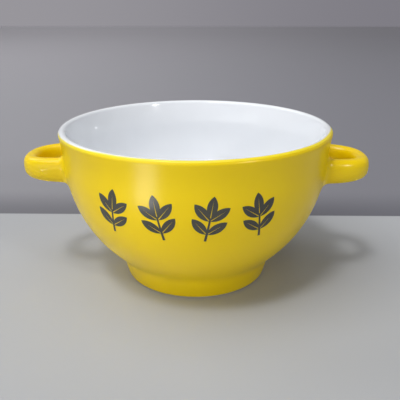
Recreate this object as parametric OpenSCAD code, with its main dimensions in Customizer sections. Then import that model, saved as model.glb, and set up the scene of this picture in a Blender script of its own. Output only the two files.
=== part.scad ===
// Two-handled soup mug: a round stoneware bowl on a foot ring, with a finger loop on each side.
// Origin: centre of the foot on the table. +Z is up, the handles lie along X, and the print faces -Y.
// All sizes are millimetres.

/* [Bowl] */
// Outside diameter across the lip
rim_d = 136; // [128:1:146]
// Height from the table to the top of the lip
mug_h = 79.5; // [76:0.5:86]
// Outside diameter of the belly at its widest line
belly_d = 132.8; // [126:0.4:140]
// Height of the nearly upright neck, from the belly's widest line to the top of the lip
neck_h = 14.3; // [11:0.1:18]
// Thickness of the clay wall
wall_t = 4.2; // [3.2:0.1:5.4]
// Thickness of the clay floor over the recess
floor_t = 5.6; // [4.4:0.1:7]
// Thickness of the round lip, glaze included
lip_t = 3.8; // [3:0.1:5]
// How softly the inside wall runs into the floor
floor_blend = 7; // [4:0.5:12]

/* [Foot] */
// Height of the foot, from the table to its corner with the belly
foot_h = 11.8; // [10:0.1:14]
// Diameter of the foot where it meets the belly
foot_top_d = 80.8; // [76:0.2:87]
// How far the foot's side leans in on its way down to the table
foot_lean = 3.2; // [1:0.1:5]
// Width of the foot's ring at the table
foot_t = 6.2; // [5:0.1:9]
// Height of the recess under the floor
recess_h = 6.5; // [5:0.1:8]
// Size of the slip fillet between the foot and the belly
foot_fillet = 2.8; // [2:0.1:4]
// Height of the rounded clay edge that is wiped bare at the table
bare_h = 0.8; // [0.6:0.1:1.5]

/* [Handles] */
// How far a handle stands out from the belly's widest line
handle_reach = 22.2; // [19:0.2:28]
// Width of a loop from front to back
handle_w = 38; // [33:0.2:42]
// Thickness of the strap
handle_t = 7.6; // [6:0.1:9]
// Height of the strap at the bend
handle_h = 10.6; // [8:0.1:14]
// Height of the strap where it meets the belly
root_h = 12.2; // [10:0.1:15]
// How far the middle of the strap lies below the top of the lip
handle_drop = 20.4; // [18:0.1:25]
// Straight run of the strap between its fillet and its bend
leg_len = 0.3; // [0.1:0.1:2]
// Size of the slip fillet round each root
root_fillet = 2.8; // [1.8:0.1:3.2]
// Thickness of the slip bed between a root and the clay wall
slip_t = 0.5; // [0.3:0.05:0.8]

/* [Glaze and print] */
// Thickness of every glaze layer
glaze_t = 0.4; // [0.25:0.05:0.6]
// How far the white glaze runs over the lip, as an angle above level on the outside
white_edge_angle = 38; // [10:1:70]
// How far the print stands out of the glaze
print_t = 0.08; // [0.05:0.01:0.15]
// Number of leaf sprigs in the print
sprigs = 4; // [2:1:5]
// Angle between two sprigs round the mug
sprig_pitch = 19; // [17:0.5:22]
// Turn of the whole print round the mug, away from the middle of the front
print_turn = -3; // [-8:0.5:8]
// How far the middle of the print lies below the top of the lip
print_drop = 26; // [23:0.5:31]
// Height of a sprig, from the foot of its stem to the tip of its top leaf
sprig_h = 22; // [18:0.5:24]
// Length of a leaf
leaf_len = 10.2; // [7:0.1:11]
// Width of a leaf
leaf_w = 4.5; // [3.4:0.1:5]
// Width of a stem
stem_w = 1.1; // [0.8:0.1:1.6]
// Lean of every second sprig, left and right in turn
sprig_lean = 9; // [0:1:14]

/* [Hidden] */
$fn = 96;

// Colours
clay = [0.86, 0.82, 0.75];
slip = [0.80, 0.75, 0.67];
white_glaze = [0.93, 0.94, 0.95];
yellow_glaze = [0.90, 0.74, 0.07];
print_grey = [0.17, 0.17, 0.18];

// Angles
quarter_turn = 90;
half_turn = 180;
full_turn = 360;

// How many steps each curve is drawn with
neck_steps = 5;
belly_steps = 22;
fillet_steps = 6;
under_steps = 8;
lip_steps = 10;
edge_steps = 4;
floor_steps = 30;
ring_sides = 20;
bend_steps = 22;
root_steps = 5;

// The neck flares as this power of the height
flare_power = 1.5;
// A strap's section and its loop lie between an ellipse (2) and a rectangle
strap_power = 2.5;
loop_power = 2.6;
// Depth of the tool that cuts a hole in the glaze for a root
cut_depth = 8;
// Depth of the tools that cut the sprigs out of the print's skin
print_reach = 12;
// Leaves in pairs up a sprig, their lean away from the stem, and where the lowest and highest pairs sit,
// as shares of the sprig's height
leaf_pairs = 2;
leaf_lean = 47;
first_pair_share = 0.17;
last_pair_share = 0.48;
// Where a stem ends inside the top leaf, as a share of that leaf's length
stem_end_share = 0.2;

// Sizes worked out from those above
rim_r = rim_d / 2;
belly_r = belly_d / 2;
lip_r = lip_t / 2;
lip_z = mug_h - lip_r;
neck_z = mug_h - neck_h;
wall_all = wall_t + 2 * glaze_t;
inner_r = belly_r - wall_all;
foot_top_r = foot_top_d / 2;
foot_base_r = foot_top_r - foot_lean;
bore_r = foot_base_r - foot_t;
// The belly's curve is an ellipse that passes through the foot's corner and would close this far down
belly_depth = (neck_z - foot_h) / sqrt(1 - pow(foot_top_r / belly_r, 2));
inner_depth = belly_depth - wall_all;
floor_z = recess_h + floor_t + glaze_t;
print_z = mug_h - print_drop;
handle_z = mug_h - handle_drop;
axis_y = (handle_w - handle_t) / 2;

// The smooth larger of two heights
function soft_max(a, b, blend) = (a + b + sqrt(pow(a - b, 2) + blend * blend)) / 2;
function reversed(list) = [for (i = [len(list) - 1:-1:0]) list[i]];
function mixed(a, b, share) = a + (b - a) * share;
function signed_pow(x, p) = sign(x) * pow(abs(x), p);
function arc(centre, r, from, to, steps) =
    [for (i = [0:steps]) let (t = mixed(from, to, i / steps)) centre + r * [cos(t), sin(t)]];

// Outside of the wall, moved in by inset: 0 is the face of the glaze, glaze_t is the clay under it.
// The neck's flare, from 0 at the belly to 1 at the lip
function neck_share(z) = pow(max(z - neck_z, 0) / (lip_z - neck_z), flare_power);
function wall_r(z, inset) =
    z > neck_z ? mixed(belly_r, rim_r, neck_share(z)) - inset
    : (belly_r - inset) * sqrt(1 - pow((neck_z - z) / (belly_depth - inset), 2));
function belly_z(r, inset) = neck_z - (belly_depth - inset) * sqrt(1 - pow(r / (belly_r - inset), 2));
function neck_curve(inset) =
    [for (i = [0:neck_steps]) let (z = mixed(lip_z, neck_z, i / neck_steps)) [wall_r(z, inset), z]];
function belly_curve(inset, r_end) =
    let (t_end = acos(r_end / (belly_r - inset)))
    [for (i = [1:belly_steps]) let (t = t_end * i / belly_steps)
        [(belly_r - inset) * cos(t), neck_z - (belly_depth - inset) * sin(t)]];

// The foot's corner, and where its fillet leaves the belly and reaches the foot's side.
// The fillet bends round the point where the belly's tangent meets the foot's side.
function foot_corner(inset) = let (r = foot_top_r - inset) [r, belly_z(r, inset)];
function foot_side(inset, z) =
    let (c = foot_corner(inset)) [mixed(foot_base_r - inset, c.x, z / c.y), z];
function fillet_top(inset) = let (r = foot_top_r - inset + foot_fillet) [r, belly_z(r, inset)];
function belly_slope(r, inset) =
    let (share = r / (belly_r - inset))
    (belly_depth - inset) / (belly_r - inset) * share / sqrt(1 - share * share);
function fillet_bend(inset) =
    let (a = fillet_top(inset), c = foot_corner(inset), base = foot_base_r - inset,
         slope = belly_slope(a.x, inset), lean = (c.x - base) / c.y)
    foot_side(inset, (a.y + slope * (base - a.x)) / (1 - slope * lean));
function fillet_foot(inset) = foot_side(inset, fillet_bend(inset).y - foot_fillet);
function fillet_curve(inset) =
    let (a = fillet_top(inset), b = fillet_bend(inset), c = fillet_foot(inset))
    [for (i = [0:fillet_steps]) let (t = i / fillet_steps)
        pow(1 - t, 2) * a + 2 * t * (1 - t) * b + t * t * c];
function belly_under_fillet(inset) =
    let (top = fillet_top(inset).x, end = foot_corner(inset).x)
    [for (i = [1:edge_steps]) let (r = mixed(top, end, i / edge_steps)) [r, belly_z(r, inset)]];
function outer_curve(inset) = concat(neck_curve(inset), belly_curve(inset, fillet_top(inset).x));

// Underside of the bowl's clay, from the foot's corner to the hollow's edge and on to the axis
function under_z(r) = max(recess_h, belly_z(r, glaze_t));
function under_curve(from, to) =
    [for (i = [0:under_steps]) let (r = mixed(from, to, i / under_steps)) [r, under_z(r)]];
seat_curve = under_curve(foot_corner(glaze_t).x, bore_r);
ceiling_curve = under_curve(bore_r, 0);

// Inside of the bowl, from the lip to the axis: outset 0 is the white glaze, glaze_t is the clay behind it
function inner_curve(outset) = concat(
    [for (i = [0:neck_steps]) let (z = mixed(lip_z, neck_z, i / neck_steps))
        [mixed(inner_r, rim_r - lip_t, neck_share(z)) + outset, z]],
    [for (i = [1:floor_steps]) let (t = quarter_turn * i / floor_steps)
        [(inner_r + outset) * cos(t),
         soft_max(neck_z - (inner_depth + outset) * sin(t), floor_z - outset, floor_blend)]]);

function lip_arc(inset, from, to) = arc([rim_r - lip_r, lip_z], lip_r - inset, from, to, lip_steps);

module turned(points) {
    rotate_extrude() polygon(points);
}

// Clay of the bowl: wall, lip and floor
module bowl_body() {
    color(clay) turned(concat(
        lip_arc(glaze_t, half_turn, 0), outer_curve(glaze_t), belly_under_fillet(glaze_t),
        seat_curve, ceiling_curve, reversed(inner_curve(glaze_t))));
}

// Clay ring that the bowl stands on, with a rounded bare edge
module foot_ring() {
    side = foot_side(glaze_t, bare_h);
    color(clay) turned(concat(
        reversed(seat_curve), [fillet_foot(glaze_t)],
        arc(side - [bare_h, 0], bare_h, 0, -quarter_turn, edge_steps),
        arc([bore_r + bare_h, bare_h], bare_h, -quarter_turn, -half_turn, edge_steps)));
}

// Slip that fills the corner between the foot and the belly
module foot_slip_joint() {
    color(slip) turned(concat(fillet_curve(glaze_t), reversed(belly_under_fillet(glaze_t))));
}

// White glaze inside the bowl and over the lip
module white_lining() {
    color(white_glaze) turned(concat(
        lip_arc(0, white_edge_angle, half_turn), inner_curve(0),
        reversed(inner_curve(glaze_t)), lip_arc(glaze_t, half_turn, white_edge_angle)));
}

// White glaze in the recess under the bowl
module recess_glaze() {
    color(white_glaze) turned(concat(
        ceiling_curve,
        [for (p = reversed(ceiling_curve)) [p.x * (bore_r - glaze_t) / bore_r, p.y - glaze_t]],
        [[bore_r - glaze_t, bare_h], [bore_r, bare_h]]));
}

// Yellow glaze on the outside of the bowl and foot, with a hole where each root is luted to the clay
module bowl_coat() {
    color(yellow_glaze) difference() {
        turned(concat(
            lip_arc(0, white_edge_angle, 0), outer_curve(0), fillet_curve(0),
            [foot_side(0, bare_h), foot_side(glaze_t, bare_h)],
            reversed(fillet_curve(glaze_t)), reversed(outer_curve(glaze_t)),
            lip_arc(glaze_t, 0, white_edge_angle)));
        for (side = [0, 1], leg = [-1, 1])
            mirror([side, 0, 0]) root_hole(leg);
    }
}

// Handles. A ring is one section of the strap.
// Rings run from the front root round the bend to the rear root.
// inset 0 is the face of the glaze, and glaze_t is the clay under it.
// The loop is half of a rounded ellipse centred on the wall. Its bend starts past the fillet of the root.
bend_x = wall_r(handle_z + root_h / 2 + root_fillet, 0) + root_fillet + leg_len;
loop_x = wall_x(axis_y, handle_z, 0);
loop_len = belly_r + handle_reach - handle_t / 2 - loop_x;
bend_start = acos(pow((bend_x - loop_x) / loop_len, loop_power / 2));
function strap_x(q) = signed_pow(cos(q), 2 / strap_power);
function strap_z(q) = signed_pow(sin(q), 2 / strap_power);
function ring_angle(i) = full_turn * i / ring_sides;
function wall_x(y, z, inset) = sqrt(pow(wall_r(z, inset), 2) - y * y);

// Section of the bend at an angle from its outermost point
function bend_ring(inset, angle) =
    let (h = mixed(handle_h, root_h, pow(angle / bend_start, 2)),
         c = signed_pow(cos(angle), 2 / loop_power), s = signed_pow(sin(angle), 2 / loop_power),
         out = [signed_pow(c, loop_power - 1) / loop_len, signed_pow(s, loop_power - 1) / axis_y],
         n = out / norm(out),
         p = [loop_x + loop_len * c, axis_y * s])
    [for (i = [0:ring_sides - 1]) let (q = ring_angle(i), e = p + n * (handle_t / 2 - inset) * strap_x(q))
        [e.x, e.y, handle_z + (h / 2 - inset) * strap_z(q)]];

// Section at a root, grown by spread all round and following the wall at a height of stand above it
function root_ring(leg, inset, spread, stand, scale = 1) =
    [for (i = [0:ring_sides - 1])
        let (q = ring_angle(i),
             y = leg * (axis_y + scale * ((handle_t / 2 - inset) * strap_x(q) + spread * cos(q))),
             z = handle_z + scale * ((root_h / 2 - inset) * strap_z(q) + spread * sin(q)))
        [wall_x(y, z, inset) + stand, y, z]];
function root_middle(leg, inset, stand) =
    let (y = leg * axis_y) [wall_x(y, handle_z, inset) + stand, y, handle_z];

// The fillet round a root, from the wall (0) to the strap (90)
function fillet_ring(leg, inset, angle) =
    let (w = root_fillet + inset) root_ring(leg, inset, w * (1 - sin(angle)), w * (1 - cos(angle)));
function fillet_rings(leg, inset) =
    [for (i = [0:root_steps]) fillet_ring(leg, inset, quarter_turn * i / root_steps)];
function bend_rings(inset) =
    [for (i = [0:bend_steps]) bend_ring(inset, mixed(-bend_start, bend_start, i / bend_steps))];

// Triangles between ring a and ring b, counted from the first point
function band(a, b) =
    [for (i = [0:ring_sides - 1], half = [0, 1])
        let (j = (i + 1) % ring_sides, p = a * ring_sides, r = b * ring_sides)
        half == 0 ? [p + i, r + i, r + j] : [p + i, r + j, p + j]];
function flat_list(lists) = [for (list = lists, item = list) item];

// A closed skin over rings, with a point at each end
module capped_skin(start, rings, end) {
    n = len(rings);
    first = n * ring_sides;
    polyhedron(
        concat(flat_list(rings), [start, end]),
        concat(
            [for (k = [0:n - 2]) each band(k, k + 1)],
            [for (i = [0:ring_sides - 1]) [first, i, (i + 1) % ring_sides]],
            [for (i = [0:ring_sides - 1])
                [first + 1, (n - 1) * ring_sides + (i + 1) % ring_sides, (n - 1) * ring_sides + i]]));
}

// A skin over rings that runs on from the last ring to the first
module looped_skin(rings) {
    n = len(rings);
    polyhedron(flat_list(rings), [for (k = [0:n - 1]) each band(k, (k + 1) % n)]);
}

// Rings that carry a face over the wall's curve, from its edge to its middle
face_shares = [1, 0.75, 0.5, 0.25];
function wall_face(leg, spread, stand) =
    [for (share = face_shares) root_ring(leg, glaze_t, spread, stand, share)];

// End face of a strap on its slip bed
function end_face(leg) = wall_face(leg, 0, slip_t);

// Clay loop of the handle on the right
module handle_clay() {
    capped_skin(
        root_middle(-1, glaze_t, slip_t),
        concat(reversed(end_face(-1)), bend_rings(glaze_t), end_face(1)),
        root_middle(1, glaze_t, slip_t));
}

// Slip bed and fillet that hold one root
module slip_joint(leg) {
    foot_face = reversed(wall_face(leg, root_fillet + glaze_t, 0));
    rings = concat(
        [for (i = [0:len(foot_face) - 2]) foot_face[i]], fillet_rings(leg, glaze_t), end_face(leg));
    capped_skin(
        root_middle(leg, glaze_t, 0),
        leg < 0 ? rings : [for (ring = rings) reversed(ring)],
        root_middle(leg, glaze_t, slip_t));
}

// Yellow glaze over the strap and its two fillets
module handle_glaze() {
    function face(inset) = concat(
        fillet_rings(-1, inset), bend_rings(inset), reversed(fillet_rings(1, inset)));
    looped_skin(concat(face(0), reversed(face(glaze_t))));
}

// Tool for the hole that a fillet's outline makes in the glaze
module root_hole(leg) {
    outline = root_ring(leg, 0, root_fillet, 0);
    depth = cut_depth;
    start = loop_x - depth / 2;
    translate([start, 0, 0]) rotate([quarter_turn, 0, quarter_turn])
        linear_extrude(depth) polygon([for (p = outline) [p.y, p.z]]);
}

module left_handle() {
    color(clay) mirror([1, 0, 0]) handle_clay();
}

module right_handle() {
    color(clay) handle_clay();
}

module left_slip_joint(leg) {
    color(slip) mirror([1, 0, 0]) slip_joint(leg);
}

module right_slip_joint(leg) {
    color(slip) slip_joint(leg);
}

module left_handle_coat() {
    color(yellow_glaze) mirror([1, 0, 0]) handle_glaze();
}

module right_handle_coat() {
    color(yellow_glaze) handle_glaze();
}

// A pointed leaf that grows up from the origin
module leaf() {
    r = (leaf_len * leaf_len + leaf_w * leaf_w) / (4 * leaf_w);
    translate([0, leaf_len / 2]) intersection() {
        translate([r - leaf_w / 2, 0]) circle(r);
        translate([leaf_w / 2 - r, 0]) circle(r);
    }
}

// An upright sprig: a stem, pairs of leaves and a top leaf, centred on the origin
module sprig() {
    stem_h = sprig_h - leaf_len * (1 - stem_end_share);
    translate([0, -sprig_h / 2]) {
        translate([-stem_w / 2, 0]) square([stem_w, stem_h]);
        translate([0, sprig_h - leaf_len]) leaf();
        for (k = [0:leaf_pairs - 1], side = [-1, 1])
            translate([0, sprig_h * mixed(first_pair_share, last_pair_share, k / (leaf_pairs - 1))])
                rotate(side * leaf_lean) leaf();
    }
}

// Skin that stands on the glaze, over the height of the print
module print_skin() {
    low = print_z - sprig_h;
    points = [for (p = outer_curve(0)) if (p.y > low) p];
    outside = [for (p = outer_curve(-print_t)) if (p.y > low) p];
    turned(concat(points, reversed(outside)));
}

// Dark leaf sprigs printed on the front of the bowl
module front_print() {
    lean_down = asin((neck_z - print_z) / belly_depth);
    color(print_grey) intersection() {
        print_skin();
        for (k = [0:sprigs - 1])
            rotate([0, 0, print_turn - quarter_turn + (k - (sprigs - 1) / 2) * sprig_pitch])
                translate([wall_r(print_z, 0), 0, print_z])
                    rotate([0, lean_down, 0]) rotate([quarter_turn, 0, quarter_turn])
                        linear_extrude(print_reach, center = true)
                            rotate(sprig_lean * (k % 2 * 2 - 1)) sprig();
    }
}

bowl_body();
foot_ring();
foot_slip_joint();
left_handle();
right_handle();
left_slip_joint(-1);  // left_front_slip_joint
left_slip_joint(1);  // left_rear_slip_joint
right_slip_joint(-1);  // right_front_slip_joint
right_slip_joint(1);  // right_rear_slip_joint
white_lining();
bowl_coat();
left_handle_coat();
right_handle_coat();
recess_glaze();
front_print();
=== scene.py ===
# %% [markdown]
# # A two-handled soup mug
# The mug is slip-cast stoneware: a round bowl on a foot ring, with a finger loop luted on at each side.
# It wears a satin yellow glaze outside, a glossy white glaze inside, and a small dark print of leaves.
# The clay parts come from the CAD frame.
# Blender gives the mug its skins of glaze, its print and its finishes.

# %% Load the frame
import math

import bmesh
import bpy
from mathutils import Matrix, Vector


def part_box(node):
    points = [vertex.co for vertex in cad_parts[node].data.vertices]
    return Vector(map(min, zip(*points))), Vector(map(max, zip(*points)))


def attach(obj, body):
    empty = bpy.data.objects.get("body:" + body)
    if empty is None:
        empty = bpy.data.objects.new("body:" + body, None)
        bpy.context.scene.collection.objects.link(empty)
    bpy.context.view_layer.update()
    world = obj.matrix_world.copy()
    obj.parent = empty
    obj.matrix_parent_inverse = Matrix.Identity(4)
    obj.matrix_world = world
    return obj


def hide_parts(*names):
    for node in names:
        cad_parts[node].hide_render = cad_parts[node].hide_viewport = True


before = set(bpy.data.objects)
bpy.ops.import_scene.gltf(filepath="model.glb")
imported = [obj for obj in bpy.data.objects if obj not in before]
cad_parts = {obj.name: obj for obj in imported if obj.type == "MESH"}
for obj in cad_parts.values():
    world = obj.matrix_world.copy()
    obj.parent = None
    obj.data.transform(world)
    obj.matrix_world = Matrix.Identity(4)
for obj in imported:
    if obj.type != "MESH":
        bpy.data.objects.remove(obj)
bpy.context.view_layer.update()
MM = 0.001
print("CAD nodes:", ", ".join(sorted(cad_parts)))

# %% [markdown]
# ## Camera
# The photograph was taken from just above the mug, close to it, so the ellipse of the lip is wide open.
# The camera could be placed by eye, but the lip, the foot and the two sides of the belly fix it fully.
# Its distance, height and tilt were solved from those outlines, and they are written here as real sizes.

# %% Place the camera
CAMERA_DISTANCE = 260.3 * MM
CAMERA_HEIGHT = 137.0 * MM
CAMERA_TILT = math.radians(20.86)
CAMERA_TURN = math.radians(1.5)
CAMERA_PAN = math.radians(0.48)
FOCAL_PX = 520.0
FRAME_PX = 400.0
SENSOR_WIDTH = 36.0

lens = bpy.data.cameras.new("photo_camera")
lens.sensor_width = SENSOR_WIDTH
lens.lens = SENSOR_WIDTH * FOCAL_PX / FRAME_PX
lens.clip_start = 0.01
camera = bpy.data.objects.new("photo_camera", lens)
camera.location = (
    CAMERA_DISTANCE * math.sin(CAMERA_TURN),
    -CAMERA_DISTANCE * math.cos(CAMERA_TURN),
    CAMERA_HEIGHT,
)
camera.rotation_euler = (math.pi / 2 - CAMERA_TILT, 0, CAMERA_TURN - CAMERA_PAN)
bpy.context.scene.collection.objects.link(camera)
bpy.context.scene.camera = camera
bpy.context.scene.view_settings.view_transform = "Standard"
print("lens", round(lens.lens, 1), "mm at", [round(c, 4) for c in camera.location])

# %% [markdown]
# ## Sizes
# Every skin of glaze follows the clay, so its sizes come from the boxes of the CAD nodes where they can.
# The rest are the wall's own curve: an upright neck with a slight flare, and a belly that closes like
# an ellipse.

# %% Sizes of the bowl
GLAZE_T = 0.4 * MM
RIM_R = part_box("bowl_coat")[1][0]
MUG_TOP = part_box("white_lining")[1][2]
BARE_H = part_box("bowl_coat")[0][2]
LIP_T = 3.8 * MM
LIP_R = LIP_T / 2
LIP_Z = MUG_TOP - LIP_R
BELLY_R = 66.4 * MM
NECK_Z = MUG_TOP - 14.3 * MM
WALL_ALL = 5.0 * MM
FLOOR_Z = 12.5 * MM
FLOOR_BLEND = 7.0 * MM
FOOT_H = 11.8 * MM
FOOT_TOP_R = 40.4 * MM
FOOT_BASE_R = 37.2 * MM
FOOT_FILLET = 2.8 * MM
BELLY_DEPTH = (NECK_Z - FOOT_H) / math.sqrt(1 - (FOOT_TOP_R / BELLY_R) ** 2)
FLARE_POWER = 1.5
WHITE_EDGE = math.radians(38)
print("rim radius", round(RIM_R / MM, 2), "top", round(MUG_TOP / MM, 2), "bare edge", round(BARE_H / MM, 2))


# %% Curves of the wall
def mixed(a, b, share):
    return a + (b - a) * share


def neck_share(z):
    return max((z - NECK_Z) / (LIP_Z - NECK_Z), 0) ** FLARE_POWER


def wall_r(z, inset=0.0):
    """Radius of the bowl's outside at height z, moved in by inset."""
    if z > NECK_Z:
        return mixed(BELLY_R, RIM_R, neck_share(z)) - inset
    drop = (NECK_Z - z) / (BELLY_DEPTH - inset)
    return (BELLY_R - inset) * math.sqrt(1 - drop * drop)


def belly_z(r, inset=0.0):
    """Height at which the belly has radius r."""
    return NECK_Z - (BELLY_DEPTH - inset) * math.sqrt(1 - (r / (BELLY_R - inset)) ** 2)


def arc_points(centre_r, centre_z, radius, start, end, steps):
    angles = [mixed(start, end, i / steps) for i in range(steps + 1)]
    return [(centre_r + radius * math.cos(a), centre_z + radius * math.sin(a)) for a in angles]


def foot_side(inset, z):
    """Point on the foot's sloping side at height z."""
    corner_r = FOOT_TOP_R - inset
    return (mixed(FOOT_BASE_R - inset, corner_r, z / belly_z(corner_r, inset)), z)


def foot_fillet(inset, steps):
    """The soft corner between the belly and the foot, bent round the point where their tangents meet."""
    corner_r = FOOT_TOP_R - inset
    top_r = corner_r + FOOT_FILLET
    top = Vector((top_r, belly_z(top_r, inset)))
    share = top_r / (BELLY_R - inset)
    slope = (BELLY_DEPTH - inset) / (BELLY_R - inset) * share / math.sqrt(1 - share * share)
    base_r = FOOT_BASE_R - inset
    lean = (corner_r - base_r) / belly_z(corner_r, inset)
    bend = Vector(foot_side(inset, (top[1] + slope * (base_r - top_r)) / (1 - slope * lean)))
    foot = Vector(foot_side(inset, bend[1] - FOOT_FILLET))
    shares = [i / steps for i in range(steps + 1)]
    return [tuple((1 - t) ** 2 * top + 2 * t * (1 - t) * bend + t * t * foot) for t in shares]


# %% [markdown]
# ## Helpers for edit mode
# Spins, extrusions and bridges act on what is selected, so each starts from a clean selection.
# Every object stays at the origin with its place in its mesh, as a CAD node has.

# %% Helpers
def only(obj):
    """Leaves obj alone selected and active."""
    bpy.ops.object.select_all(action="DESELECT")
    obj.select_set(True)
    bpy.context.view_layer.objects.active = obj


def profile_object(name, points, closed=True):
    """A line of edges in the plane that faces -Y, ready to be spun about Z."""
    mesh = bpy.data.meshes.new(name)
    edges = [(i, i + 1) for i in range(len(points) - 1)]
    if closed:
        edges.append((len(points) - 1, 0))
    mesh.from_pydata([(0, -r, z) for r, z in points], edges, [])
    obj = bpy.data.objects.new(name, mesh)
    bpy.context.scene.collection.objects.link(obj)
    return obj


# A spin turns clockwise about its axis, so an axis that points down turns the profile from -Y towards +X.
SPIN_AXIS = (0, 0, -1)


def spin_profile(obj, stretches):
    """Spins the profile about Z through stretches of (angle in degrees, steps)."""
    only(obj)
    bpy.ops.object.mode_set(mode="EDIT")
    bpy.ops.mesh.select_mode(type="VERT")
    bpy.ops.mesh.select_all(action="SELECT")
    for degrees, steps in stretches:
        bpy.ops.mesh.spin(steps=steps, angle=math.radians(degrees), center=(0, 0, 0), axis=SPIN_AXIS)
    bpy.ops.object.mode_set(mode="OBJECT")


def merge_and_face_out(obj):
    only(obj)
    bpy.ops.object.mode_set(mode="EDIT")
    bpy.ops.mesh.select_all(action="SELECT")
    bpy.ops.mesh.remove_doubles(threshold=0.01 * MM)
    bpy.ops.mesh.normals_make_consistent(inside=False)
    bpy.ops.object.mode_set(mode="OBJECT")


def soften(obj, levels):
    """Rounds a cage with an applied subdivision surface and shades it smooth."""
    only(obj)
    rounder = obj.modifiers.new("round", "SUBSURF")
    rounder.levels = levels
    rounder.render_levels = levels
    bpy.ops.object.modifier_apply(modifier=rounder.name)
    bpy.ops.object.shade_smooth()


def report(obj):
    triangles = sum(len(p.vertices) - 2 for p in obj.data.polygons)
    low = [round(min(v.co[i] for v in obj.data.vertices) / MM, 2) for i in range(3)]
    high = [round(max(v.co[i] for v in obj.data.vertices) / MM, 2) for i in range(3)]
    print(obj.name, triangles, "triangles, from", low, "to", high, "mm")


# %% [markdown]
# ## The yellow glaze
# On the real mug one dip of glaze covers the bowl, the foot and both handles, with no line between them.
# Separate skins would show a crease at each root, so the whole coat is one cage with a quarter of it drawn.
# A closed profile is spun through 90 degrees, with narrow steps where the handle's root lands.
# Two rows close together keep each end of the profile crisp when the surface is subdivided.
# The root's faces are deleted and the open edge is extruded, ring by ring, round half of the finger loop.
# Two mirrors finish the shape, and a subdivision surface rounds it.

# %% Spin a quarter of the coat
ROOT_H = 12.2 * MM
HANDLE_T = 7.6 * MM
HANDLE_H = 10.6 * MM
HANDLE_Z = MUG_TOP - 20.4 * MM
HANDLE_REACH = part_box("right_handle_coat")[1][0]
AXIS_Y = 15.2 * MM
ROOT_FILLET = 2.8 * MM
ROOT_HALF_Z = ROOT_H / 2 + ROOT_FILLET
LEG_LEN = 0.3 * MM
LOOP_X = math.sqrt(wall_r(HANDLE_Z) ** 2 - AXIS_Y ** 2)
LOOP_LEN = HANDLE_REACH - HANDLE_T / 2 - LOOP_X
ROOT_ROWS = 6
ROOT_COLUMNS = 4
ROOT_EDGE_DEGREES = 7.5
ROOT_STEP_DEGREES = 3
FRONT_STEPS = 16
BELLY_ROWS = 6


def lip_points(inset, shares):
    """Points round the outside of the lip. Share 1 is the edge where the white glaze takes over."""
    radius = LIP_R - inset
    turns = [WHITE_EDGE * s for s in shares]
    return [(RIM_R - LIP_R + radius * math.cos(a), LIP_Z + radius * math.sin(a)) for a in turns]


def coat_rows(inset):
    """Profile of the coat from the lip down to the bare edge of the foot."""
    root_zs = [HANDLE_Z + ROOT_HALF_Z * (1 - 2 * i / ROOT_ROWS) for i in range(ROOT_ROWS + 1)]
    neck_zs = [mixed(LIP_Z, root_zs[0], share) for share in (0.33, 0.66)]
    fillet = foot_fillet(inset, 4)
    belly_zs = [mixed(root_zs[-1], fillet[0][1], i / BELLY_ROWS) for i in range(1, BELLY_ROWS)]
    wall = [(wall_r(z, inset), z) for z in neck_zs + root_zs + belly_zs]
    lip = lip_points(inset, (1, 0.93, 0.6, 0.3, 0))
    foot_top = fillet[-1][1]
    foot = [foot_side(inset, mixed(foot_top, BARE_H, share)) for share in (0.45, 0.97, 1)]
    return lip + wall + fillet + foot


quarter = profile_object("yellow_coat", coat_rows(0) + coat_rows(GLAZE_T)[::-1])
root_span = ROOT_COLUMNS * ROOT_STEP_DEGREES
spin_profile(quarter, [
    (90 - root_span - ROOT_EDGE_DEGREES, FRONT_STEPS),
    (root_span, ROOT_COLUMNS),
    (ROOT_EDGE_DEGREES, 2),
])
report(quarter)


# %% Sections of the handle
STRAP_POWER = 2.5
LOOP_POWER = 2.6
SMOOTHING_GAIN = 1.016
BEND_X = wall_r(HANDLE_Z + ROOT_HALF_Z) + ROOT_FILLET + LEG_LEN
BEND_START = math.degrees(math.acos(((BEND_X - LOOP_X) / LOOP_LEN) ** (LOOP_POWER / 2)))


def signed_power(x, power):
    return math.copysign(abs(x) ** power, x)


def rounded(x):
    """One side of a section between an ellipse and a rectangle."""
    return signed_power(x, 2 / STRAP_POWER)


def wall_x(y, z):
    return math.sqrt(wall_r(z) ** 2 - y * y)


def root_point(turn, climb):
    """Point of the slip fillet: climb 0 lies on the wall and climb 90 on the strap."""
    spread = ROOT_FILLET * (1 - math.sin(math.radians(climb)))
    stand = ROOT_FILLET * (1 - math.cos(math.radians(climb)))
    c, s = math.cos(turn), math.sin(turn)
    y = -AXIS_Y + HANDLE_T / 2 * SMOOTHING_GAIN * rounded(c) + spread * c
    z = HANDLE_Z + ROOT_H / 2 * SMOOTHING_GAIN * rounded(s) + spread * s
    return Vector((wall_x(y, z) + stand, y, z))


def bend_point(turn, angle):
    """Point of the strap, from the start of the bend to its outermost section at angle 0."""
    height = mixed(HANDLE_H, ROOT_H, (angle / BEND_START) ** 2)
    c = signed_power(math.cos(math.radians(angle)), 2 / LOOP_POWER)
    s = signed_power(math.sin(math.radians(angle)), 2 / LOOP_POWER)
    middle = Vector((LOOP_X + LOOP_LEN * c, -AXIS_Y * s, HANDLE_Z))
    slope = (signed_power(c, LOOP_POWER - 1) / LOOP_LEN, -signed_power(s, LOOP_POWER - 1) / AXIS_Y, 0)
    out = Vector(slope).normalized()
    across = HANDLE_T / 2 * SMOOTHING_GAIN * rounded(math.cos(turn))
    up = height / 2 * SMOOTHING_GAIN * rounded(math.sin(turn))
    return middle - out * across + Vector((0, 0, up))


# %% Open the root and draw out the strap
FILLET_RINGS = 3
BEND_RINGS = 9


def place_ring(obj, place):
    """Puts each selected vertex where place says for its own turn round the section."""
    mesh = bmesh.from_edit_mesh(obj.data)
    turn = mesh.verts.layers.float["turn"]
    for v in mesh.verts:
        if v.select:
            v.co = place(v[turn])
    bmesh.update_edit_mesh(obj.data)


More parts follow.
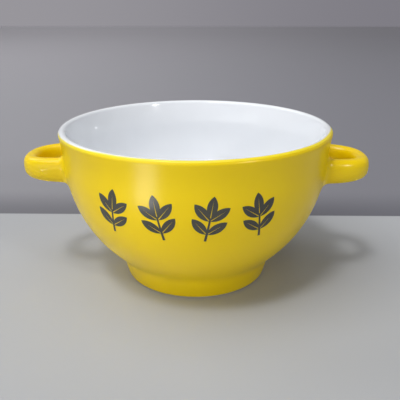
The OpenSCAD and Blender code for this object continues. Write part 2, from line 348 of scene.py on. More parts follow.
def open_root(obj):
    """Deletes the outer faces under the root and selects the edge that they leave."""
    mesh = bmesh.from_edit_mesh(obj.data)
    turn = mesh.verts.layers.float.new("turn")
    low = -math.radians(ROOT_EDGE_DEGREES + root_span)
    high = -math.radians(ROOT_EDGE_DEGREES)
    inside = []
    for face in mesh.faces:
        c = face.calc_center_median()
        in_span = low < math.atan2(c.y, c.x) < high
        in_rows = abs(c.z - HANDLE_Z) < ROOT_HALF_Z
        on_outside = math.hypot(c.x, c.y) > wall_r(c.z) - GLAZE_T / 2
        if in_span and in_rows and on_outside:
            inside.append(face)
    rim = {e for f in inside for e in f.edges if not all(g in inside for g in e.link_faces)}
    rim_verts = {v for e in rim for v in e.verts}
    middle = Vector((0, -AXIS_Y, HANDLE_Z))
    half_y = (max(v.co.y for v in rim_verts) - min(v.co.y for v in rim_verts)) / 2
    centre_y = (max(v.co.y for v in rim_verts) + min(v.co.y for v in rim_verts)) / 2

    def angle_of(v):
        up = (v.co.z - middle.z) / ROOT_HALF_Z
        side = (v.co.y - centre_y) / half_y
        return math.atan2(up, side) % (2 * math.pi)

    ordered = sorted(rim_verts, key=lambda v: round(angle_of(v), 3) % round(2 * math.pi, 3))
    for i, v in enumerate(ordered):
        v[turn] = 2 * math.pi * i / len(ordered)
    for item in list(mesh.verts) + list(mesh.edges) + list(mesh.faces):
        item.select = False
    for face in inside:
        face.select = True
    bmesh.update_edit_mesh(obj.data)
    bpy.ops.mesh.delete(type="FACE")
    mesh = bmesh.from_edit_mesh(obj.data)
    for e in mesh.edges:
        if e.is_boundary and all(abs(v.co.y) > 1e-6 and abs(v.co.x) > 1e-6 for v in e.verts):
            e.select = True
    mesh.select_flush_mode()
    bmesh.update_edit_mesh(obj.data)
    return len(ordered)


only(quarter)
bpy.ops.object.mode_set(mode="EDIT")
bpy.ops.mesh.select_mode(type="EDGE")
ring_sides = open_root(quarter)
place_ring(quarter, lambda turn: root_point(turn, 0))
for ring in range(1, FILLET_RINGS + 1):
    bpy.ops.mesh.extrude_region_move()
    place_ring(quarter, lambda turn: root_point(turn, 90 * ring / FILLET_RINGS))
for ring in range(BEND_RINGS, -1, -1):
    bpy.ops.mesh.extrude_region_move()
    place_ring(quarter, lambda turn: bend_point(turn, BEND_START * ring / BEND_RINGS))
bpy.ops.object.mode_set(mode="OBJECT")
print("the strap's section has", ring_sides, "sides")
report(quarter)

# %% Mirror the quarter into a whole coat
coat = quarter
only(coat)
mirror = coat.modifiers.new("both_sides", "MIRROR")
mirror.use_axis = (True, True, False)
mirror.merge_threshold = 0.02 * MM
bpy.ops.object.modifier_apply(modifier=mirror.name)
merge_and_face_out(coat)
soften(coat, 2)
report(coat)

# %% [markdown]
# ## The white glaze
# The inside was poured full of white glaze and emptied, so it is one smooth skin from the floor to the lip.
# It could be left as the CAD node, but a spun cage with a rounded edge catches the lamps more cleanly.

# %% Spin the white lining
LINING_STEPS = 96
LINING_ROWS = 18


def soft_max(a, b, blend):
    return (a + b + math.sqrt((a - b) ** 2 + blend * blend)) / 2


def lining_rows(outset):
    """Profile of the lining from the neck down to the floor. The clay behind it has outset GLAZE_T."""
    inner_r = BELLY_R - WALL_ALL
    inner_depth = BELLY_DEPTH - WALL_ALL
    rows = []
    for share in (0.45, 0.8):
        z = mixed(LIP_Z, NECK_Z, share)
        rows.append((mixed(inner_r, RIM_R - LIP_T, neck_share(z)) + outset, z))
    for i in range(LINING_ROWS):
        a = math.radians(90) * i / LINING_ROWS
        z = NECK_Z - (inner_depth + outset) * math.sin(a)
        rows.append(((inner_r + outset) * math.cos(a), soft_max(z, FLOOR_Z - outset, FLOOR_BLEND)))
    return rows


FLOOR_R = 1.5 * MM
edge_row = arc_points(RIM_R - LIP_R, LIP_Z, LIP_R, WHITE_EDGE, WHITE_EDGE + math.radians(3), 1)
lip_rows = arc_points(RIM_R - LIP_R, LIP_Z, LIP_R, WHITE_EDGE + math.radians(22), math.pi, 6)
face_rows = lining_rows(0)
floor_point = (FLOOR_R, face_rows[-1][1])
lining = profile_object("white_lining_skin", edge_row + lip_rows + face_rows + [floor_point], closed=False)
spin_profile(lining, [(360, LINING_STEPS)])
merge_and_face_out(lining)
report(lining)


# %% Close the floor of the lining
def close_poles(obj, depth):
    """Fills the ring that a spin leaves open on the axis with a fan round one middle point."""
    only(obj)
    bpy.ops.object.mode_set(mode="EDIT")
    bpy.ops.mesh.select_mode(type="EDGE")
    bpy.ops.mesh.select_all(action="DESELECT")
    mesh = bmesh.from_edit_mesh(obj.data)
    for e in mesh.edges:
        near_axis = all(math.hypot(v.co.x, v.co.y) < depth for v in e.verts)
        if e.is_boundary and near_axis:
            e.select = True
    bmesh.update_edit_mesh(obj.data)
    bpy.ops.mesh.edge_face_add()
    bpy.ops.mesh.poke()
    bpy.ops.mesh.select_all(action="DESELECT")
    bpy.ops.object.mode_set(mode="OBJECT")


close_poles(lining, 3 * MM)
only(lining)
thick = lining.modifiers.new("thickness", "SOLIDIFY")
thick.thickness = GLAZE_T
thick.offset = -1
bpy.ops.object.modifier_apply(modifier=thick.name)
soften(lining, 1)
report(lining)

# %% [markdown]
# ## The print
# The front carries four leaf sprigs in dark ink, fired into the glaze as a thin transfer.
# A flat transfer bends round the bowl, so each sprig is cut flat first and then laid on.
# One half leaf is drawn, mirrored and copied into a sprig. Shrinkwrap lays it on the coat,
# and Solidify gives the ink its thickness. An image would do too, but a shape keeps its edge at any zoom.

# %% Sizes of the print
PRINT_T = 0.08 * MM
SPRIGS = 4
SPRIG_PITCH = 19.0
PRINT_TURN = -3.0
PRINT_Z = MUG_TOP - 26.0 * MM
SPRIG_H = 22.0 * MM
LEAF_LEN = 10.2 * MM
LEAF_W = 4.5 * MM
LEAF_LEAN = 47.0
STEM_W = 1.1 * MM
SPRIG_LEAN = 9.0
PAIR_SHARES = (0.17, 0.48)
VEIN_W = 0.42 * MM
LEAF_ROWS = 14


# %% Cut one leaf
def clear_selection():
    bpy.ops.object.select_all(action="DESELECT")


def leaf_half_width(share):
    """Half the width of a pointed leaf, whose two sides are arcs, at a share of its length."""
    radius = (LEAF_LEN ** 2 + LEAF_W ** 2) / (4 * LEAF_W)
    along = (share - 0.5) * LEAF_LEN
    return math.sqrt(radius ** 2 - along ** 2) - (radius - LEAF_W / 2)


clear_selection()
bpy.ops.mesh.primitive_grid_add(x_subdivisions=2, y_subdivisions=LEAF_ROWS, size=1, location=(0, 0, 0))
leaf = bpy.context.object
leaf.name = "leaf"
for v in leaf.data.vertices:
    up, across = v.co.y + 0.5, v.co.x + 0.5
    half = leaf_half_width(up)
    vein = min(VEIN_W / 2, half) * max(1 - up * 1.15, 0)
    v.co = (mixed(vein, half, across), up * LEAF_LEN, 0)
only(leaf)
mirror = leaf.modifiers.new("other_half", "MIRROR")
mirror.use_axis = (True, False, False)
mirror.merge_threshold = 0.005 * MM
bpy.ops.object.modifier_apply(modifier=mirror.name)
bpy.ops.object.mode_set(mode="EDIT")
bpy.ops.mesh.select_all(action="SELECT")
bpy.ops.mesh.remove_doubles(threshold=0.01 * MM)
bpy.ops.mesh.normals_make_consistent(inside=False)
bpy.ops.object.mode_set(mode="OBJECT")
if leaf.data.polygons[0].normal.z < 0:
    leaf.data.flip_normals()
report(leaf)


# %% Join leaves and a stem into a sprig
def placed_copy(obj, matrix):
    """A copy of obj with its own mesh, moved by matrix."""
    mesh = obj.data.copy()
    mesh.transform(matrix)
    copy = bpy.data.objects.new(obj.name, mesh)
    bpy.context.scene.collection.objects.link(copy)
    return copy


bottom = -SPRIG_H / 2
parts = [placed_copy(leaf, Matrix.Translation((0, SPRIG_H / 2 - LEAF_LEN, 0)))]
for share in PAIR_SHARES:
    for side in (-1, 1):
        place = Matrix.Translation((0, bottom + SPRIG_H * share, 0))
        parts.append(placed_copy(leaf, place @ Matrix.Rotation(math.radians(side * LEAF_LEAN), 4, "Z")))
stem_top = SPRIG_H / 2 - LEAF_LEN * 0.96
clear_selection()
bpy.ops.mesh.primitive_grid_add(x_subdivisions=1, y_subdivisions=16, size=1, location=(0, 0, 0))
stem = bpy.context.object
for v in stem.data.vertices:
    up = v.co.y + 0.5
    v.co = (v.co.x * STEM_W * mixed(1, 0.7, up), mixed(bottom, stem_top, up), 0)
parts.append(stem)
clear_selection()
for part in parts:
    part.select_set(True)
bpy.context.view_layer.objects.active = stem
bpy.ops.object.join()
flat_sprig = stem
flat_sprig.name = "flat_sprig"
bpy.data.objects.remove(leaf)
report(flat_sprig)

# %% Lay the sprigs on the coat
PRINT_LEAN = math.asin((NECK_Z - PRINT_Z) / BELLY_DEPTH)
STAND_OFF = 2.0 * MM
FACE_OUT = Matrix(((0, 0, 1, 0), (1, 0, 0, 0), (0, 1, 0, 0), (0, 0, 0, 1)))
laid = []
for k in range(SPRIGS):
    turn = math.radians(PRINT_TURN - 90 + (k - (SPRIGS - 1) / 2) * SPRIG_PITCH)
    lean = math.radians(SPRIG_LEAN * (k % 2 * 2 - 1))
    sprig = placed_copy(flat_sprig, Matrix.Rotation(lean, 4, "Z"))
    out = Matrix.Translation((wall_r(PRINT_Z), 0, PRINT_Z)) @ Matrix.Rotation(PRINT_LEAN, 4, "Y")
    stand_off = Matrix.Translation((0, 0, STAND_OFF))
    sprig.matrix_world = Matrix.Rotation(turn, 4, "Z") @ out @ FACE_OUT @ stand_off
    only(sprig)
    wrap = sprig.modifiers.new("lay_on", "SHRINKWRAP")
    wrap.target = coat
    wrap.wrap_method = "PROJECT"
    wrap.use_project_z = True
    wrap.use_negative_direction = True
    wrap.use_positive_direction = False
    bpy.ops.object.modifier_apply(modifier=wrap.name)
    bpy.ops.object.transform_apply(location=True, rotation=True, scale=True)
    laid.append(sprig)
clear_selection()
for sprig in laid:
    sprig.select_set(True)
bpy.context.view_layer.objects.active = laid[0]
bpy.ops.object.join()
ink = laid[0]
ink.name = "leaf_print"
only(ink)
thick = ink.modifiers.new("ink_thickness", "SOLIDIFY")
thick.thickness = PRINT_T
thick.offset = 1
bpy.ops.object.modifier_apply(modifier=thick.name)
bpy.ops.object.shade_smooth_by_angle(angle=math.radians(40))
bpy.data.objects.remove(flat_sprig)
report(ink)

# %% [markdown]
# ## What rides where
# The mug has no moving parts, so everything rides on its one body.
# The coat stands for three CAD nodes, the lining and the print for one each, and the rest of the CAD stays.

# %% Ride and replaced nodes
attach(coat, "root")
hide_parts("bowl_coat", "left_handle_coat", "right_handle_coat")
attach(lining, "root")
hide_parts("white_lining")
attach(ink, "root")
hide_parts("front_print")


# %% [markdown]
# ## Helpers for materials
# A node tree reads best when each node is made and wired in one line.
# These helpers add a node with its settings, and wire each input to a number or to another node's socket.

# %% Node helpers
def add(tree, kind, inputs=None, **settings):
    """Adds a node. Inputs are named or numbered, and hold values or sockets."""
    made = tree.nodes.new(kind)
    for key, value in settings.items():
        setattr(made, key, value)
    for key, value in (inputs or {}).items():
        if isinstance(value, bpy.types.NodeSocket):
            tree.links.new(value, made.inputs[key])
        else:
            made.inputs[key].default_value = value
    return made


def calc(tree, operation, a, b=0.0, clamp=False):
    """One Math node, as the socket that holds its result."""
    return add(tree, "ShaderNodeMath", {0: a, 1: b}, operation=operation, use_clamp=clamp).outputs[0]


def ramp(tree, value, low, high, out_low=0.0, out_high=1.0, soft=True):
    """Maps value from low..high to out_low..out_high and holds it there outside."""
    kind = "SMOOTHSTEP" if soft else "LINEAR"
    inputs = {"Value": value, "From Min": low, "From Max": high, "To Min": out_low, "To Max": out_high}
    return add(tree, "ShaderNodeMapRange", inputs, interpolation_type=kind).outputs["Result"]


def blend(tree, share, a, b):
    """Mixes two colours. Each is a tuple or a socket."""
    mixer = add(tree, "ShaderNodeMix", {"Factor": share}, data_type="RGBA")
    for socket, value in ((mixer.inputs[6], a), (mixer.inputs[7], b)):
        if isinstance(value, bpy.types.NodeSocket):
            tree.links.new(value, socket)
        else:
            socket.default_value = (*value, 1)
    return mixer.outputs[2]


def object_point(tree):
    return add(tree, "ShaderNodeTexCoord").outputs["Object"]


def noise(tree, point, scale, detail=2.0, roughness=0.5):
    inputs = {"Vector": point, "Scale": scale, "Detail": detail, "Roughness": roughness}
    return add(tree, "ShaderNodeTexNoise", inputs).outputs["Fac"]


def new_group(name, inputs, outputs):
    """An empty node group with named sockets. Inputs are numbers with a default."""
    group = bpy.data.node_groups.new(name, "ShaderNodeTree")
    for label, value in inputs.items():
        socket = group.interface.new_socket(label, in_out="INPUT", socket_type="NodeSocketFloat")
        socket.default_value = value
    for label in outputs:
        group.interface.new_socket(label, in_out="OUTPUT", socket_type="NodeSocketFloat")
    return group, group.nodes.new("NodeGroupInput"), group.nodes.new("NodeGroupOutput")


def use(tree, group, **values):
    """Places a group in a tree with its own values."""
    made = tree.nodes.new("ShaderNodeGroup")
    made.node_tree = group
    for label, value in values.items():
        made.inputs[label].default_value = value
    return made


def relief(tree, shader, height, strength, depth):
    """Lets a height stand out from the surface as small bumps."""
    bump = add(tree, "ShaderNodeBump", {"Height": height, "Strength": strength, "Distance": depth})
    tree.links.new(bump.outputs["Normal"], shader.inputs["Normal"])


def new_material(name):
    material = bpy.data.materials.new(name)
    material.use_nodes = True
    return material, material.node_tree, material.node_tree.nodes["Principled BSDF"]


# %% [markdown]
# ## Where yellow meets white
# The bowl is dipped in yellow up to its lip, and the white inside runs over it, so the line between them
# wanders. On the left the white comes right over the lip, and along the front and right a bright roll of
# yellow stays on top. The line could be modelled, but both skins would have to follow it.
# It is painted instead, by one group that both glazes share: it measures the angle round the lip's own
# section and compares it with a level that changes round the mug.

# %% Group: the wandering line on the lip
LINE_MEAN = 55.0
LINE_RIGHT = 29.0
LINE_FRONT = 34.0
LINE_BACK_DROP = 50.0
LINE_WANDER = 22.0
WANDER_SCALE = 55.0
WHITE_FROM, WHITE_TO = -18.0, 12.0
THIN_LIT_FROM, THIN_LIT_TO = -75.0, -20.0
BACK_FROM, BACK_TO = 0.35, -0.15
LIP_FROM, LIP_TO = -2.2 * MM, -1.8 * MM

lip_line, given, result = new_group("lip_line", {"Below": 0.0, "Wander": LINE_WANDER}, ["White", "Ridge"])
xyz = add(lip_line, "ShaderNodeSeparateXYZ", {0: object_point(lip_line)}).outputs
x_squared = calc(lip_line, "POWER", xyz["X"], 2.0)
y_squared = calc(lip_line, "POWER", xyz["Y"], 2.0)
radius = calc(lip_line, "SQRT", calc(lip_line, "ADD", x_squared, y_squared))
rise = calc(lip_line, "SUBTRACT", xyz["Z"], LIP_Z)
reach = calc(lip_line, "SUBTRACT", radius, RIM_R - LIP_R)
angle = calc(lip_line, "MULTIPLY", calc(lip_line, "ARCTAN2", reach, rise), -math.degrees(1))
angle = calc(lip_line, "ADD", angle, 90.0)
to_right = calc(lip_line, "DIVIDE", xyz["X"], radius)
to_front = calc(lip_line, "DIVIDE", xyz["Y"], calc(lip_line, "MULTIPLY", radius, -1.0))
level = calc(lip_line, "ADD", calc(lip_line, "MULTIPLY", to_right, LINE_RIGHT), LINE_MEAN)
level = calc(lip_line, "ADD", level, calc(lip_line, "MULTIPLY", to_front, LINE_FRONT))
level = calc(lip_line, "SUBTRACT", level, ramp(lip_line, to_front, BACK_FROM, BACK_TO, 0.0, LINE_BACK_DROP))
drift = calc(lip_line, "SUBTRACT", noise(lip_line, object_point(lip_line), WANDER_SCALE, detail=3.0), 0.5)
level = calc(lip_line, "ADD", level, calc(lip_line, "MULTIPLY", drift, given.outputs["Wander"]))
over = calc(lip_line, "SUBTRACT", angle, level)
painted = ramp(lip_line, over, WHITE_FROM, WHITE_TO)
on_lip = ramp(lip_line, rise, LIP_FROM, LIP_TO, soft=False)
held = calc(lip_line, "MULTIPLY", calc(lip_line, "SUBTRACT", 1.0, on_lip), given.outputs["Below"])
white = calc(lip_line, "ADD", calc(lip_line, "MULTIPLY", painted, on_lip), held)
lip_line.links.new(white, result.inputs["White"])
# Ridge marks the roll just outside the white line. The yellow there is painted paler, partly as thin glaze
# over the white and partly as a painted highlight where lamps from above catch the roll.
near = calc(lip_line, "MULTIPLY", ramp(lip_line, over, THIN_LIT_FROM, THIN_LIT_TO), on_lip)
lip_line.links.new(near, result.inputs["Ridge"])
print("at the front the line on the lip lies at about", LINE_MEAN + LINE_FRONT, "degrees")

# %% [markdown]
# ## Skin of a fired glaze
# A glaze melts flat but never quite: it keeps an orange-peel ripple about a millimetre wide, a slow swell
# from the dipping, and a tone and a haze that drift a little with its thickness. A few faint specks
# are left in it. All the glazes share one group for this, with their own strengths.

# %% Group: ripple, swell and drift of a glaze
RIPPLE_SCALE = 900.0
RIPPLE_SHARE = 0.012
SWELL_SCALE = 60.0
TONE_SCALE = 30.0
SPECK_SCALE = 260.0
HAZE_SCALE = 45.0

glaze_skin, given, result = new_group(
    "glaze_skin", {"Ripple": 1.0, "Swell": 1.0, "Speck": 0.0}, ["Height", "Tone", "Specks", "Haze"])
point = object_point(glaze_skin)
ripple = noise(glaze_skin, point, RIPPLE_SCALE, detail=1.0)
ripple = calc(glaze_skin, "MULTIPLY", ripple, given.outputs["Ripple"])
swell = noise(glaze_skin, point, SWELL_SCALE, detail=1.0)
swell = calc(glaze_skin, "MULTIPLY", swell, given.outputs["Swell"])
height = calc(glaze_skin, "ADD", calc(glaze_skin, "MULTIPLY", ripple, RIPPLE_SHARE), swell)
glaze_skin.links.new(height, result.inputs["Height"])
tone = noise(glaze_skin, point, TONE_SCALE, detail=1.5)
glaze_skin.links.new(ramp(glaze_skin, tone, 0.3, 0.7), result.inputs["Tone"])
cells = add(glaze_skin, "ShaderNodeTexVoronoi", {"Vector": point, "Scale": SPECK_SCALE}, feature="F1")
dots = ramp(glaze_skin, cells.outputs["Distance"], 0.03, 0.09, 1.0, 0.0)
rare = ramp(glaze_skin, cells.outputs["Color"], 0.93, 0.95)
specks = calc(glaze_skin, "MULTIPLY", dots, rare)
specks = calc(glaze_skin, "MULTIPLY", specks, given.outputs["Speck"], clamp=True)
glaze_skin.links.new(specks, result.inputs["Specks"])
glaze_skin.links.new(noise(glaze_skin, point, HAZE_SCALE, detail=1.0), result.inputs["Haze"])


# %% [markdown]
# ## Satin yellow and glossy white
# The outside is a satin glaze: its colour is strong, and lamps show in it only as broad soft bands.
# The inside is a clear gloss over white, so the same lamps show there as small sharp spots.
# Both skins carry both colours, because the line between them wanders over each, so one recipe makes both.
# The haze changes the roughness only a little, so the satin looks as even as it does in the photograph.

# %% Recipe for the two glazes
YELLOW = (0.885, 0.632, 0.002)
YELLOW_THIN_LIT = (0.91, 0.76, 0.030)
YELLOW_DEEP_AND_SHADE = (0.82, 0.555, 0.001)
WHITE = (0.83, 0.85, 0.88)
WHITE_COOL = (0.77, 0.80, 0.85)
SPECK = (0.30, 0.22, 0.12)
SATIN = 0.262
GLOSS = 0.10
HAZE_REACH = 0.008
DEEP_SHARE = 0.20
THIN_LIT_SHARE = 0.9
COOL_SHARE = 0.25
FOOT_EDGE_SHADE_SHARE = 0.6
FOOT_EDGE_SHADE_H = 1.0 * MM
GLAZE_RELIEF = 0.12
GLAZE_DEPTH = 0.25 * MM


def glaze_material(name, below, specular):
    """Yellow and white glaze, with the painted line between them. Below is the glaze away from the lip."""
    material, tree, shader = new_material(name)
    line = use(tree, lip_line, Below=below)
    skin = use(tree, glaze_skin, Ripple=1.0, Swell=0.4, Speck=0.3)
    xyz = add(tree, "ShaderNodeSeparateXYZ", {0: object_point(tree)}).outputs
    white = line.outputs["White"]
    yellow = blend(tree, calc(tree, "MULTIPLY", skin.outputs["Tone"], DEEP_SHARE), YELLOW, YELLOW_DEEP_AND_SHADE)
    # The roll next to the white is painted paler: partly thin glaze, partly a painted highlight.
    yellow = blend(tree, calc(tree, "MULTIPLY", line.outputs["Ridge"], THIN_LIT_SHARE), yellow, YELLOW_THIN_LIT)
    # Painted shade: the yellow darkens over the last millimetre above the bare edge, where the foot meets
    # the table. The same deep yellow also serves the glaze's random tone.
    foot_edge_shade = ramp(tree, xyz["Z"], BARE_H + FOOT_EDGE_SHADE_H, BARE_H, 0.0, FOOT_EDGE_SHADE_SHARE)
    yellow = blend(tree, foot_edge_shade, yellow, YELLOW_DEEP_AND_SHADE)
    pale = blend(tree, calc(tree, "MULTIPLY", skin.outputs["Tone"], COOL_SHARE), WHITE, WHITE_COOL)
    colour = blend(tree, white, yellow, pale)
    colour = blend(tree, skin.outputs["Specks"], colour, SPECK)
    tree.links.new(colour, shader.inputs["Base Color"])
    haze = ramp(tree, skin.outputs["Haze"], 0.3, 0.7, -HAZE_REACH, HAZE_REACH)
    rough = calc(tree, "ADD", ramp(tree, white, 0.0, 1.0, SATIN, GLOSS), haze, clamp=True)
    tree.links.new(rough, shader.inputs["Roughness"])
    relief(tree, shader, skin.outputs["Height"], GLAZE_RELIEF, GLAZE_DEPTH)
    shader.inputs["Specular IOR Level"].default_value = specular
    return material


coat.data.materials.append(glaze_material("satin_yellow", 0.0, 0.36))
lining.data.materials.append(glaze_material("gloss_white", 1.0, 0.5))
print("the glazes use the groups", lip_line.name, "and", glaze_skin.name)

# %% [markdown]
# ## Ink
# The transfer's ink melts into the glaze, so it is as satin as the yellow round it, and a soft band of light
# runs on over it. It is a dark warm grey rather than black, a little thinner here and there.

# %% Ink of the print
INK = (0.050, 0.049, 0.040)
INK_PALE = (0.062, 0.061, 0.050)
INK_WORN = (0.16, 0.13, 0.05)
WORN_SCALE = 1500.0

ink_look, tree, shader = new_material("leaf_ink")
skin = use(tree, glaze_skin, Ripple=1.0, Swell=0.4, Speck=0.0)
body = blend(tree, skin.outputs["Tone"], INK, INK_PALE)
thin = ramp(tree, noise(tree, object_point(tree), WORN_SCALE, detail=2.0), 0.62, 0.75, 0.0, 0.35)
tree.links.new(blend(tree, thin, body, INK_WORN), shader.inputs["Base Color"])
haze = ramp(tree, skin.outputs["Haze"], 0.3, 0.7, 0.250, 0.270)
tree.links.new(haze, shader.inputs["Roughness"])
relief(tree, shader, skin.outputs["Height"], GLAZE_RELIEF, GLAZE_DEPTH)
ink.data.materials.append(ink_look)

# %% [markdown]
# ## Clay and slip
# Bare stoneware shows only at the foot's edge and inside the joints. It is a pale, dry, grainy body with
# fine sand in it. Slip is the same clay without the sand, so one group of grain serves both.

# %% Group: grain of fired clay
GRAIN_SCALE = 2600.0
CLOUD_SCALE = 90.0
SAND_SCALE = 1500.0
SAND_RELIEF = 0.5

clay_grain, given, result = new_group("clay_grain", {"Sand": 1.0}, ["Height", "Tone", "Sand"])
point = object_point(clay_grain)
fine = noise(clay_grain, point, GRAIN_SCALE, detail=4.0, roughness=0.7)
cloud = noise(clay_grain, point, CLOUD_SCALE, detail=3.0)
clay_grain.links.new(ramp(clay_grain, cloud, 0.3, 0.7), result.inputs["Tone"])
grains = add(clay_grain, "ShaderNodeTexVoronoi", {"Vector": point, "Scale": SAND_SCALE}, feature="F1")
sand = ramp(clay_grain, grains.outputs["Distance"], 0.10, 0.22, 1.0, 0.0)
sand = calc(clay_grain, "MULTIPLY", sand, ramp(clay_grain, grains.outputs["Color"], 0.70, 0.80))
sand = calc(clay_grain, "MULTIPLY", sand, given.outputs["Sand"])
clay_grain.links.new(sand, result.inputs["Sand"])
height = calc(clay_grain, "ADD", fine, calc(clay_grain, "MULTIPLY", sand, SAND_RELIEF))
clay_grain.links.new(height, result.inputs["Height"])


# %% Clay and slip from one recipe
SAND_TONE = (0.36, 0.27, 0.18)
SAND_SHARE = 0.6


def clay_material(name, light, dark, sand):
    material, tree, shader = new_material(name)
    grain = use(tree, clay_grain, Sand=sand)
    body = blend(tree, grain.outputs["Tone"], light, dark)
    body = blend(tree, calc(tree, "MULTIPLY", grain.outputs["Sand"], SAND_SHARE), body, SAND_TONE)
    tree.links.new(body, shader.inputs["Base Color"])
    tree.links.new(ramp(tree, grain.outputs["Tone"], 0.0, 1.0, 0.82, 0.92), shader.inputs["Roughness"])
    relief(tree, shader, grain.outputs["Height"], 0.5, 0.12 * MM)
    shader.inputs["Specular IOR Level"].default_value = 0.25
    return material


clay = clay_material("bare_clay", (0.66, 0.60, 0.50), (0.58, 0.51, 0.41), 1.0)
slip = clay_material("joining_slip", (0.60, 0.53, 0.43), (0.54, 0.47, 0.37), 0.0)

# %% [markdown]
# ## Glaze in the recess
# Under the foot the white glaze is poured in and wiped, so it is glossy but less even than inside the bowl.
# It is the CAD node with a better finish.

# %% White glaze of the recess
recess, tree, shader = new_material("recess_white_glaze")
skin = use(tree, glaze_skin, Ripple=1.4, Swell=1.6, Speck=1.0)
pale = blend(tree, skin.outputs["Tone"], (0.80, 0.81, 0.82), (0.72, 0.74, 0.76))
tree.links.new(blend(tree, skin.outputs["Specks"], pale, SPECK), shader.inputs["Base Color"])
tree.links.new(ramp(tree, skin.outputs["Haze"], 0.3, 0.7, 0.10, 0.18), shader.inputs["Roughness"])
relief(tree, shader, skin.outputs["Height"], 0.4, 0.4 * MM)

# %% Give the CAD nodes their finishes
yellow_look = coat.data.materials[0]
white_look = lining.data.materials[0]
CAD_LOOKS = {
    "bowl_body": clay, "foot_ring": clay, "left_handle": clay, "right_handle": clay,
    "foot_slip_joint": slip, "left_front_slip_joint": slip, "left_rear_slip_joint": slip,
    "right_front_slip_joint": slip, "right_rear_slip_joint": slip, "recess_glaze": recess,
    "bowl_coat": yellow_look, "left_handle_coat": yellow_look, "right_handle_coat": yellow_look,
    "white_lining": white_look, "front_print": ink_look,
}
for node_name, look in CAD_LOOKS.items():
    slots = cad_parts[node_name].material_slots
    for one in slots:
        one.material = look
    print(node_name, "wears", look.name, "in", len(slots), "slot")

# %% [markdown]
# ## Table and light
# The photograph was taken on a pale grey table in front of a darker grey wall, under ceiling lamps.
# A real wall so close behind would leave the back of the mug in the dark, so the floor only changes its tone
# where the wall starts, and the world shows the rest of the wall to the camera and to reflections.
# Each lamp stands for something that the photograph shows:
# - The ceiling lamp is nearly overhead, a little to the front left. The handles' shadows on the table
#   fix its direction.
# - The windows and the room lamp are broad and soft, and fill the shadows as a bright room does.
# - The tube lamp and the side lamp show as a faint streak and a spot in the glossy lining.
# - The bounce lamp stands for light that the table throws up on the lower left of the belly.
# - The band lamp is small, low and close, and draws the upright satin band on the belly.

# %% Floor and room
WALL_TONE = (0.290, 0.288, 0.310)
WALL_FAR_PAINTED_LIGHT = (0.93, 0.90, 0.96)
WALL_RIGHT_PAINTED_SHADE = (0.14, 0.14, 0.17)
WALL_FOOT_PAINTED_SHADE = (0.10, 0.10, 0.12)
TABLE_TONES = ((0.412, 0.422, 0.442), (0.432, 0.442, 0.462))
FLOOR_SIZE = 6.0
FADE_POWER = 1.35
WALL_Y = 70 * MM
FOOT_SHADE_DEPTH = 54 * MM
WALL_EDGE = 1.2 * MM
SKY = (0.97, 0.98, 1.0, 1)
SKY_STRENGTH = 0.205
BACK_LEFT = (0.315, 0.305, 0.330)
BACK_RIGHT_PAINTED_SHADE = (0.212, 0.205, 0.232)

clear_selection()
bpy.ops.mesh.primitive_plane_add(size=FLOOR_SIZE, location=(0, 0, 0))
floor = bpy.context.object
floor.name = "table"
table_look, tree, shader = new_material("table")
point = object_point(tree)
xyz = add(tree, "ShaderNodeSeparateXYZ", {0: point}).outputs
mottle = noise(tree, point, 9.0, detail=3.0)
table = blend(tree, mottle, *TABLE_TONES)
# Painted light: beyond the wall's line the floor is painted paler with distance, to make up for the lamps'
# falloff so that the far wall looks even.
away = calc(tree, "POWER", calc(tree, "MAXIMUM", xyz["Y"], 0.0), FADE_POWER)
far_painted_light = ramp(tree, away, 0.0, (FLOOR_SIZE / 2) ** FADE_POWER, soft=False)
wall = blend(tree, far_painted_light, WALL_TONE, WALL_FAR_PAINTED_LIGHT)
# Painted shade: the wall part darkens towards the right, as the room's light comes from the left.
aside = calc(tree, "DIVIDE", xyz["X"], calc(tree, "ADD", xyz["Y"], CAMERA_DISTANCE))
wall = blend(tree, ramp(tree, aside, -0.4, 0.4, 0.0, 0.50), wall, WALL_RIGHT_PAINTED_SHADE)
# Painted shade: the wall darkens towards its foot, where the table's edge shades it.
wall_foot_painted_shade = ramp(tree, xyz["Y"], WALL_Y, WALL_Y + FOOT_SHADE_DEPTH, 0.60, 0.0)
wall = blend(tree, wall_foot_painted_shade, wall, WALL_FOOT_PAINTED_SHADE)
behind = ramp(tree, xyz["Y"], WALL_Y, WALL_Y + WALL_EDGE)
tree.links.new(blend(tree, behind, table, wall), shader.inputs["Base Color"])
shader.inputs["Roughness"].default_value = 0.75
shader.inputs["Specular IOR Level"].default_value = 0.2
floor.data.materials.append(table_look)

world = bpy.data.worlds.new("room")
bpy.context.scene.world = world
world.use_nodes = True
tree = world.node_tree
sky = tree.nodes["Background"]
sky.inputs["Color"].default_value = SKY
sky.inputs["Strength"].default_value = SKY_STRENGTH
way = add(tree, "ShaderNodeTexCoord").outputs["Generated"]
across = add(tree, "ShaderNodeSeparateXYZ", {0: way}).outputs["X"]
# Painted shade: the wall that the world shows is darker to the right, as the room's light comes from the
# left.
far_wall_painted_shade = blend(tree, ramp(tree, across, -0.36, 0.36), BACK_LEFT, BACK_RIGHT_PAINTED_SHADE)
backdrop = add(tree, "ShaderNodeBackground", {"Color": far_wall_painted_shade, "Strength": 1.0})
path = add(tree, "ShaderNodeLightPath").outputs
seen = calc(tree, "ADD", path["Is Camera Ray"], path["Is Glossy Ray"])
seen = calc(tree, "ADD", seen, path["Is Transmission Ray"], clamp=True)
room = add(tree, "ShaderNodeMixShader", {0: seen, 1: sky.outputs[0], 2: backdrop.outputs[0]})
tree.links.new(room.outputs[0], tree.nodes["World Output"].inputs["Surface"])


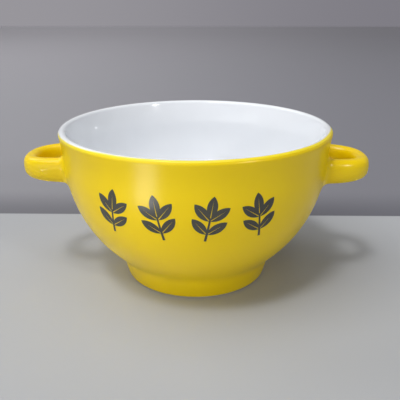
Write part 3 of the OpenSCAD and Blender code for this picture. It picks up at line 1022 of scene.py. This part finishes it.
# %% Lamps
def soft_lamp(name, turn, climb, distance, size, level, target=(0, 0, 0.04), spread=180.0):
    """An area lamp that faces the target. Turn is from the front towards the right, and level is what it
    adds to a white surface at the target that faces it, if its spread is wide."""
    turn, climb = math.radians(turn), math.radians(climb)
    level_part = math.cos(climb)
    direction = Vector((math.sin(turn) * level_part, -math.cos(turn) * level_part, math.sin(climb)))
    data = bpy.data.lights.new(name, "AREA")
    data.shape = "RECTANGLE"
    data.size, data.size_y = size
    data.spread = math.radians(spread)
    data.energy = level * (math.pi * distance) ** 2
    lamp = bpy.data.objects.new(name, data)
    lamp.visible_camera = False
    lamp.location = Vector(target) + direction * distance
    lamp.rotation_euler = direction.to_track_quat("Z", "Y").to_euler()
    bpy.context.scene.collection.objects.link(lamp)
    print(name, "at", [round(c, 2) for c in lamp.location], "with", round(data.energy, 1), "W")


LOWER_BELLY = (-25 * MM, -35 * MM, 30 * MM)
NECK_FRONT = (-19 * MM, -64 * MM, 68 * MM)

soft_lamp("ceiling_lamp", turn=-29, climb=66, distance=3.0, size=(0.46, 0.46), level=0.27)
soft_lamp("window", turn=-60, climb=58, distance=2.0, size=(1.2, 1.2), level=0.395)
soft_lamp("back_window", turn=-120, climb=40, distance=2.0, size=(1.0, 0.8), level=0.15)
soft_lamp("room_lamp", turn=0, climb=88, distance=2.0, size=(1.2, 1.2), level=0.155)
soft_lamp("left_window", turn=-45, climb=5, distance=1.8, size=(1.4, 0.8), level=0.13)
soft_lamp("front_window", turn=-15, climb=5, distance=1.4, size=(1.3, 0.5), level=0.055)
soft_lamp("tube_lamp", turn=-27, climb=25.5, distance=2.5, size=(1.1, 0.08), level=0.035)
soft_lamp("side_lamp", turn=44, climb=24, distance=2.5, size=(0.18, 0.12), level=0.17)
soft_lamp("bounce_lamp", turn=-45, climb=-4, distance=0.250, size=(0.160, 0.012), level=0.008,
          target=LOWER_BELLY, spread=26)
soft_lamp("band_lamp", turn=-40.7, climb=-27, distance=0.100, size=(0.036, 0.036), level=0.027,
          target=NECK_FRONT, spread=65)
